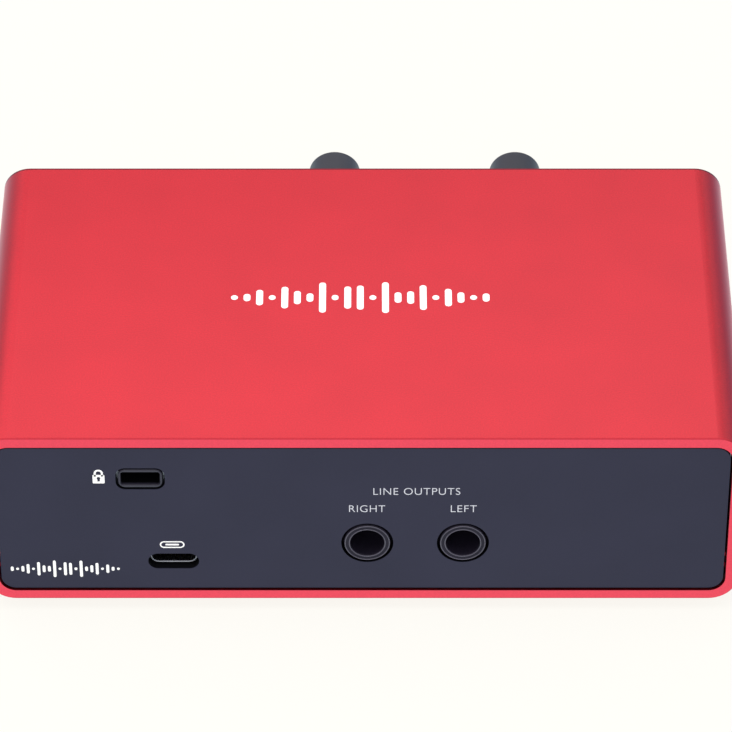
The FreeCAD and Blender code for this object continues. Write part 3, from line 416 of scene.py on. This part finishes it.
def make_knob(node, body):
    """Knob with a dished face inside a soft rim, a slight taper and a lip at its base."""
    low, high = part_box(node)
    axis_point = Vector(((low.x + high.x) / 2, low.y, (low.z + high.z) / 2))
    taper, rim, dish, skirt = 0.4 * MM, 0.55 * MM, 0.28 * MM, 0.35 * MM
    bore, face_thickness = 3.06 * MM, 2.42 * MM
    base = (high.x - low.x) / 2
    face = base - taper
    length = high.y - low.y
    profile = [(0, dish), (face * 0.6, dish), (face - 2.1 * rim, dish * 0.96)]
    profile += arc((face - 1.75 * rim, dish * 0.5), dish * 0.5, 180, 270, 4)
    profile += arc((face - rim, rim), rim, -90, 0)
    profile += [(base - skirt * 0.4, length - 3 * skirt), (base - skirt * 0.35, length - 2.2 * skirt)]
    profile += arc((base - skirt * 0.5, length - skirt * 0.5), skirt * 0.5, 0, 90, 4)
    profile += [(bore + 0.3 * MM, length), (bore, length - 0.3 * MM), (bore, face_thickness)]
    profile += [(0, face_thickness)]
    bm = bmesh.new()
    turned(bm, profile, axis_point, (0, 1, 0), 128)
    mesh = mesh_of(bm, node)
    piece = finished(node + "_moulding", mesh, MATERIALS["knob_plastic"], body, 40)
    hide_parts(node)


for knob in ("mic_gain", "instrument_gain", "monitor"):
    make_knob(knob + "_knob", knob + "_dial")


def make_feet():
    """Round rubber feet with a rolled edge, a ring groove in the sole and a shallow dimple."""
    low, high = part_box("rubber_feet")
    radius, groove, edge = 6.0 * MM, 0.3 * MM, 0.8 * MM
    height = high.z - low.z
    profile = [(0, 0.25 * MM), (1.2 * MM, 0.22 * MM), (1.9 * MM, 0.0), (3.2 * MM, 0.0)]
    profile += arc((3.6 * MM, 0.0), groove, 180, 0, 6)
    profile += arc((radius - 1.4 * MM, edge), edge, -90, 0)
    profile += [(radius - 0.25 * MM, height * 0.7), (radius, height - 0.02 * MM)]
    profile += [(radius, height), (0, height)]
    bm = bmesh.new()
    for x in (low.x + radius, high.x - radius):
        for y in (low.y + radius, high.y - radius):
            turned(bm, profile, (x, y, low.z), (0, 0, 1))
    mesh = mesh_of(bm, "feet")
    piece = finished("rubber_feet_moulding", mesh, MATERIALS["foot_rubber"])
    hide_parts("rubber_feet")


make_feet()


# ---------------------------------------------------------------- prints
CAPITAL_SHARE = 0.7  # height of a capital as a share of the font's size
STROKE_TRIM = 0.016  # taken off each side of a stroke, as a share of a capital's height
LETTER_SPACING = 1.08


def settled(outline, face, across, along, stretch=1.0):
    """Turns a filled outline into a thin solid piece, half sunk in a face of the case."""
    bpy.context.view_layer.update()
    mesh = bpy.data.meshes.new_from_object(outline.evaluated_get(bpy.context.evaluated_depsgraph_get()))
    name, curve = outline.name, outline.data
    bpy.data.objects.remove(outline)
    bpy.data.curves.remove(curve)
    mesh.transform(Matrix.Diagonal((stretch, 1, 1, 1)))
    mesh.transform(Matrix.Translation(on_face(face, across, along)) @ FACING[face].to_4x4())
    piece = bpy.data.objects.new(name, mesh)
    bpy.context.scene.collection.objects.link(piece)
    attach(piece, "chassis")


def print_text(name, words, height, face, across, along, width=None):
    """Line of capitals or figures of a given height, centred on a place and drawn out to a width."""
    curve = bpy.data.curves.new(name, "FONT")
    curve.body = words
    curve.align_x = "CENTER"
    curve.align_y = "CENTER"
    curve.size = height / CAPITAL_SHARE
    curve.space_character = LETTER_SPACING
    curve.offset = -STROKE_TRIM * height
    curve.extrude = PRINT_THICKNESS
    curve.materials.append(GREY_INK)
    piece = bpy.data.objects.new(name, curve)
    bpy.context.scene.collection.objects.link(piece)
    bpy.context.view_layer.update()
    stretch = width / piece.dimensions.x if width else 1.0
    settled(piece, face, across, along, stretch)


def print_shape(name, outlines, face, across, along, material=WHITE_INK, thickness=PRINT_THICKNESS):
    """Flat print with closed outlines about its centre; an outline inside another is a hole."""
    curve = bpy.data.curves.new(name, "CURVE")
    curve.dimensions = "2D"
    curve.fill_mode = "BOTH"
    curve.extrude = thickness
    for outline in outlines:
        spline = curve.splines.new("POLY")
        spline.points.add(len(outline) - 1)
        for point, (x, y) in zip(spline.points, outline):
            point.co = (x, y, 0, 1)
        spline.use_cyclic_u = True
    curve.materials.append(material)
    piece = bpy.data.objects.new(name, curve)
    bpy.context.scene.collection.objects.link(piece)
    settled(piece, face, across, along)


def round_box(x, y, width, height, radius):
    """Outline of a rectangle with round corners, centred on a point."""
    points = []
    for quarter, (side, level) in enumerate(((1, 1), (-1, 1), (-1, -1), (1, -1))):
        corner = (x + side * (width / 2 - radius), y + level * (height / 2 - radius))
        points += arc(corner, radius, 90 * quarter, 90 * quarter + 90, 6)
    return points


def ring_arc(centre, radius, thickness, start, end):
    """Outline of a stretch of a ring, with round ends."""
    cap = thickness / 2
    first, last = around(centre, radius, start), around(centre, radius, end)
    points = arc(centre, radius + cap, start, end, 24) + arc(last, cap, end, end + 180, 6)
    return points + arc(centre, radius - cap, end, start, 24) + arc(first, cap, start - 180, start, 6)


def waveform(width, height):
    """Upright round-ended bars under a swelling envelope."""
    bars = 21
    pitch = width / (bars - 0.45)
    thickness = pitch * 0.55
    outlines = []
    for n in range(bars):
        phase = n / (bars - 1)
        envelope = 0.25 + 0.75 * math.sin(math.pi * phase) ** 0.8
        swing = 0.55 + 0.45 * math.cos(n * 2.4)
        bar = max(thickness * 1.05, height * envelope * swing)
        outlines.append(round_box((n - (bars - 1) / 2) * pitch, 0, thickness, bar, thickness * 0.499))
    return outlines


def padlock(height):
    """Outlines of the body with its keyhole, and of the shackle, of a closed padlock."""
    width = height * 0.64
    body = round_box(0, -height * 0.2, width, height * 0.6, height * 0.06)
    keyhole = arc((0, -height * 0.14), height * 0.1, -50, 230, 12)
    keyhole += [(-height * 0.07, -height * 0.37), (height * 0.07, -height * 0.37)]
    radius, half_wire, foot = width * 0.3, height * 0.055, -height * 0.02
    bend = height * 0.22
    shackle = [(radius + half_wire, foot)] + arc((0, bend), radius + half_wire, 0, 180, 16)
    shackle += [(-radius - half_wire, foot), (half_wire - radius, foot)]
    shackle += arc((0, bend), radius - half_wire, 180, 0, 16) + [(radius - half_wire, foot)]
    return [body, keyhole], [shackle]


def headphones(size):
    """Outlines of a headband, and of two ear pads."""
    radius = size * 0.4
    band = [ring_arc((0, -size * 0.05), radius, size * 0.09, 0, 180)]
    pads = [round_box(s * radius, -size * 0.22, size * 0.2, size * 0.38, size * 0.08) for s in (-1, 1)]
    return band, pads


def rear_prints():
    """Prints on the rear fascia: output legends, lock and port pictograms and a plain waveform mark."""
    right, left = middle("right_output_jack"), middle("left_output_jack")
    rise, title_rise = right.z + 8.62 * MM, right.z + 12.97 * MM
    between = (right.x + left.x) / 2 - 0.2 * MM
    size = 1.75 * MM
    print_text("outputs_legend", "LINE OUTPUTS", size, REAR, between, title_rise, width=16.35 * MM)
    print_text("right_legend", "RIGHT", size, REAR, right.x + 0.1 * MM, rise, width=6.8 * MM)
    print_text("left_legend", "LEFT", size, REAR, left.x, rise, width=4.9 * MM)
    lock = middle("lock_slot_insert")
    for part, outlines in zip(("body", "shackle"), padlock(3.5 * MM)):
        print_shape(f"padlock_{part}_print", outlines, REAR, lock.x + 7.8 * MM, lock.z + 0.66 * MM)
    port = middle("data_port_shell")
    port_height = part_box("data_port_shell")[1].z
    outer = round_box(0, 0, 4.7 * MM, 1.7 * MM, 0.849 * MM)
    inner = round_box(0, 0, 4.16 * MM, 1.16 * MM, 0.579 * MM)
    tongue = round_box(0, 0, 2.6 * MM, 0.4 * MM, 0.19 * MM)
    print_shape("port_print", [outer, inner, tongue], REAR, port.x + 0.18 * MM, port_height + 2.62 * MM)
    low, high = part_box("rear_fascia")
    mark = waveform(20.8 * MM, 4.5 * MM)
    print_shape("rear_mark", mark, REAR, high.x - 12.25 * MM, low.z + 4.9 * MM)


def top_print():
    """Plain waveform mark on the top, upright for someone at the front."""
    width, height = 49.9 * MM, 9.9 * MM
    across, along = 0.4 * MM, 6.4 * MM
    print_shape("top_mark", waveform(width, height), TOP, across, along)


def front_prints():
    """Legends, scale marks and pictograms on the front fascia."""
    mic, mic_gain = middle("mic_socket_insert"), middle("mic_gain_knob")
    inst_gain, inst_jack = middle("instrument_gain_knob"), middle("instrument_jack")
    monitor, phones = middle("monitor_knob"), middle("headphone_jack")
    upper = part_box("front_fascia")[1].z - 3.0 * MM
    small, tiny = 1.9 * MM, 1.6 * MM
    print_text("mic_legend", "MIC", small, FRONT, mic.x, upper)
    print_text("mic_number", "1", small, FRONT, mic_gain.x + 9.4 * MM, upper)
    print_text("instrument_number", "2", small, FRONT, inst_gain.x + 9.4 * MM, upper)
    print_text("instrument_legend", "INST", small, FRONT, inst_jack.x, inst_jack.z + 7.6 * MM)
    print_text("monitor_legend", "OUTPUT", small, FRONT, monitor.x, upper + 0.2 * MM)
    legends = {"phantom": "48V", "presence": "HF", "instrument": "INST", "direct_monitor": "DIRECT"}
    for key, words in legends.items():
        button = middle(key + "_button")
        print_text(key + "_legend", words, tiny, FRONT, button.x, button.z - 4.4 * MM)
    band, pads = headphones(4.6 * MM)
    print_shape("headphone_band_print", band, FRONT, phones.x, phones.z + 8.6 * MM, GREY_INK)
    print_shape("headphone_pads_print", pads, FRONT, phones.x, phones.z + 8.6 * MM, GREY_INK)
    ticks = []
    for n in range(11):
        angle = math.radians(240 - 30 * n)
        outward = Vector((math.cos(angle), math.sin(angle)))
        across = Vector((-outward.y, outward.x)) * 0.16 * MM
        inner, outer = outward * 10.9 * MM, outward * (12.3 if n % 5 == 0 else 11.8) * MM
        ticks.append([tuple(p) for p in (inner - across, outer - across, outer + across, inner + across)])
    print_shape("monitor_scale_print", ticks, FRONT, monitor.x, monitor.z, GREY_INK)


rear_prints()
top_print()
front_prints()


def make_label():
    """Blank foil label under the case, with a thin raised frame and no lettering."""
    film = [round_box(0, 0, 62 * MM, 24 * MM, 2 * MM)]
    border = [round_box(0, 0, 60 * MM, 22 * MM, 1.4 * MM)]
    border.append(round_box(0, 0, 59.4 * MM, 21.4 * MM, 1.2 * MM))
    along = middle("case_sleeve").y
    print_shape("blank_label", film, UNDER, 0, along, LABEL_FILM)
    print_shape("blank_label_border", border, UNDER, 0, along, GREY_INK, 1.5 * PRINT_THICKNESS)


make_label()


# ---------------------------------------------------------------- beads
def bead(name, outline, level, wire, material):
    """Half-sunk round bead along a closed outline on an upright face at a depth along Y."""
    bm = bmesh.new()
    sides = 10
    loops = []
    for n, (x, z) in enumerate(outline):
        along = Vector(outline[(n + 1) % len(outline)]) - Vector(outline[n - 1])
        outward = Vector((along.y, -along.x)).normalized()
        loop = []
        for k in range(sides):
            angle = 2 * math.pi * k / sides
            reach, rise = wire * math.cos(angle), wire * math.sin(angle)
            loop.append(bm.verts.new((x + outward.x * reach, level + rise, z + outward.y * reach)))
        loops.append(loop)
    for n, loop in enumerate(loops):
        after = loops[(n + 1) % len(loops)]
        for k in range(sides):
            m = (k + 1) % sides
            bm.faces.new((loop[k], loop[m], after[m], after[k]))
    finished(name, mesh_of(bm, name), material)


def make_beads():
    """Thin beads round the mouth and the rim of each jack, and the rolled lip of the data port's shell."""
    mouth_radius, rim_radius = 3.4 * MM, 4.2 * MM
    jack_wire, lip_wire = 0.12 * MM, 0.16 * MM
    # the jack beads are lighter than the sockets: painted highlight rings
    for jack in ("right_output_jack", "left_output_jack", "instrument_jack", "headphone_jack"):
        low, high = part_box(jack)
        face = high.y if low.y > 0 else low.y
        for part, radius in (("mouth", mouth_radius), ("rim", rim_radius)):
            outline = arc((middle(jack).x, middle(jack).z), radius, 0, 356.25, 95)
            bead(f"{jack}_{part}_bead", outline, face, jack_wire, HIGHLIGHT_PLASTIC)
    low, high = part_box("data_port_shell")
    wall, shell_height = 0.3 * MM, 3.26 * MM
    width, height = high.x - low.x - wall, shell_height - wall
    place = ((low.x + high.x) / 2, high.z - shell_height / 2)
    outline = round_box(*place, width, height, 0.49 * height)
    bead("data_port_lip", outline, high.y, lip_wire, ROLLED_LIP)


make_beads()


# ---------------------------------------------------------------- floor, lights and camera
def make_floor():
    """Wide pale, faintly luminous floor at the height of the feet."""
    half_width, glow = 12.0, 0.9
    bm = bmesh.new()
    bmesh.ops.create_grid(bm, x_segments=8, y_segments=8, size=half_width)
    mesh = bpy.data.meshes.new("floor")
    bm.to_mesh(mesh)
    bm.free()
    floor = bpy.data.objects.new("floor", mesh)
    bpy.context.scene.collection.objects.link(floor)
    s = Surface("pale_floor", 0.9)
    s.shader.inputs["Specular IOR Level"].default_value = 0.0
    s.shader.inputs["Emission Color"].default_value = (1.0, 0.985, 0.93, 1.0)
    s.shader.inputs["Emission Strength"].default_value = glow
    cloud = s.noise(0.4, detail=2.0)
    s.colour(s.mixed(s.spread(cloud, 0.0, 1.0), (0.088, 0.087, 0.085), (0.092, 0.091, 0.089)))
    mesh.materials.append(s.material)
    floor.visible_glossy = False


def area_light(name, place, target, width, height, power, mirrored=True):
    """Rectangular soft light aimed at a point, left out of reflections unless mirrored."""
    light = bpy.data.lights.new(name, "AREA")
    light.shape = "RECTANGLE"
    light.size = width
    light.size_y = height
    light.energy = power
    lamp = bpy.data.objects.new(name, light)
    bpy.context.scene.collection.objects.link(lamp)
    lamp.location = place
    lamp.visible_glossy = mirrored
    lamp.rotation_mode = "QUATERNION"
    lamp.rotation_quaternion = (Vector(target) - Vector(place)).to_track_quat("-Z", "Y")


STOP_SCALE = 2.0  # a ramp's stops hold levels divided by this, and the background's strength restores it


class Surroundings:
    """World colour worked out from the direction of a place in it: x and y level, z upwards."""

    def __init__(self):
        world = bpy.data.worlds.new("studio")
        bpy.context.scene.world = world
        world.use_nodes = True
        self.tree = world.node_tree
        self.background = self.tree.nodes["Background"]
        direction = self.tree.nodes.new("ShaderNodeTexCoord").outputs["Generated"]
        split = self.tree.nodes.new("ShaderNodeSeparateXYZ")
        self.tree.links.new(direction, split.inputs["Vector"])
        self.x, self.y, self.z = (split.outputs[axis] for axis in "XYZ")

    def math(self, operation, *values):
        """Result of a calculation on sockets and numbers."""
        node = self.tree.nodes.new("ShaderNodeMath")
        node.operation = operation
        for socket, value in zip(node.inputs, values):
            if isinstance(value, (int, float)):
                socket.default_value = value
            else:
                self.tree.links.new(value, socket)
        return node.outputs[0]

    def step(self, value, start, end):
        """Smooth step from zero to one as a value goes from start to end."""
        node = self.tree.nodes.new("ShaderNodeMapRange")
        node.interpolation_type = "SMOOTHSTEP"
        node.inputs["From Min"].default_value = start
        node.inputs["From Max"].default_value = end
        self.tree.links.new(value, node.inputs["Value"])
        return node.outputs["Result"]

    def by_height(self, levels):
        """Colour by the height of a direction, through (height, colour) stops, divided by STOP_SCALE."""
        place = self.math("MULTIPLY_ADD", self.z, 0.5, 0.5)
        node = self.tree.nodes.new("ShaderNodeValToRGB")
        stops = node.color_ramp.elements
        while len(stops) < len(levels):
            stops.new(1.0)
        for stop, (height, colour) in zip(stops, levels):
            stop.position = (height + 1) / 2
            stop.color = (*(c / STOP_SCALE for c in colour), 1.0)
        self.tree.links.new(place, node.inputs["Fac"])
        return node.outputs["Color"]

    def mixed(self, factor, first, second):
        """Colour between two."""
        mix = self.tree.nodes.new("ShaderNodeMix")
        mix.data_type = "RGBA"
        self.tree.links.new(factor, mix.inputs["Factor"])
        for socket, value in zip([s for s in mix.inputs if s.type == "RGBA"], (first, second)):
            self.tree.links.new(value, socket)
        return [s for s in mix.outputs if s.type == "RGBA"][0]


# soft colours of the studio at heights from straight down (-1) to straight up (+1)
PLUS_X_FLANK = (
    (-0.7, (0.8, 0.9, 0.9)),
    (-0.3, (0.6, 0.85, 0.95)),
    (0.1, (0.4, 0.45, 0.55)),
    (0.4, (0.45, 0.45, 0.5)),
    (0.9, (1.4, 1.3, 1.3)),
)
MINUS_X_FLANK = (
    (-0.7, (0.75, 0.8, 0.85)),
    (-0.3, (0.5, 0.7, 0.85)),
    (0.1, (0.2, 0.25, 0.4)),
    (0.3, (0.3, 0.35, 0.45)),
    (0.7, (0.9, 1.0, 1.0)),
)
BEYOND_FRONT = (
    (-1.0, (0.3, 0.3, 0.3)),
    (-0.6, (1.3, 1.3, 1.3)),
    (-0.3, (1.4, 1.4, 1.4)),
    (0.1, (0.45, 0.5, 0.5)),
    (0.6, (0.15, 0.15, 0.15)),
    (0.9, (0.4, 0.4, 0.4)),
)
BEYOND_REAR = ((-0.6, (1.4, 1.6, 1.8)), (0.1, (0.9, 0.95, 1.0)))


def make_world():
    """Studio bright below and beyond the rear, dim above the front, with cool flanks dim at the horizon."""
    sky = Surroundings()
    front, rear = sky.by_height(BEYOND_FRONT), sky.by_height(BEYOND_REAR)
    minus_x, plus_x = sky.by_height(MINUS_X_FLANK), sky.by_height(PLUS_X_FLANK)
    ends = sky.mixed(sky.step(sky.y, -0.15, 0.15), front, rear)
    flanks = sky.mixed(sky.step(sky.x, -0.1, 0.1), minus_x, plus_x)
    level_part = sky.math("SQRT", sky.math("SUBTRACT", 1.0, sky.math("POWER", sky.z, 2.0)))
    sideways = sky.math("DIVIDE", sky.math("ABSOLUTE", sky.x), sky.math("MAXIMUM", level_part, 0.001))
    studio = sky.mixed(sky.step(sideways, 0.3, 0.5), ends, flanks)
    sky.tree.links.new(studio, sky.background.inputs["Color"])
    sky.background.inputs["Strength"].default_value = STOP_SCALE


def make_lights():
    """Soft light beyond the front, which shows in reflections, and two fills, which don't."""
    centre = (0, 0, 0.03)
    area_light("front_softbox", (0.14, -0.5, 0.72), centre, 0.9, 0.4, 1.54)
    area_light("overhead_fill", (0.1, 0.2, 1.3), centre, 1.0, 0.8, 8.0, mirrored=False)
    area_light("rear_fill", (0.1, 1.3, 0.5), centre, 1.0, 0.6, 8.0, mirrored=False)


def make_camera():
    """Long lens behind and above the rear of the case."""
    camera = bpy.data.cameras.new("camera")
    camera.sensor_width = 36.0
    camera.lens = 227.92
    camera.clip_start = 0.05
    camera.clip_end = 20.0
    eye = bpy.data.objects.new("camera", camera)
    bpy.context.scene.collection.objects.link(eye)
    behind, above, tilt = 0.6511, 0.56575, 40.089
    eye.location = (-0.0007, cad_high.y + behind, cad_high.z + above)
    eye.rotation_euler = (math.radians(90 - tilt), 0, math.radians(180))
    bpy.context.scene.camera = eye


make_floor()
make_world()
make_lights()
make_camera()
bpy.context.scene.view_settings.view_transform = "Standard"

bpy.context.view_layer.update()
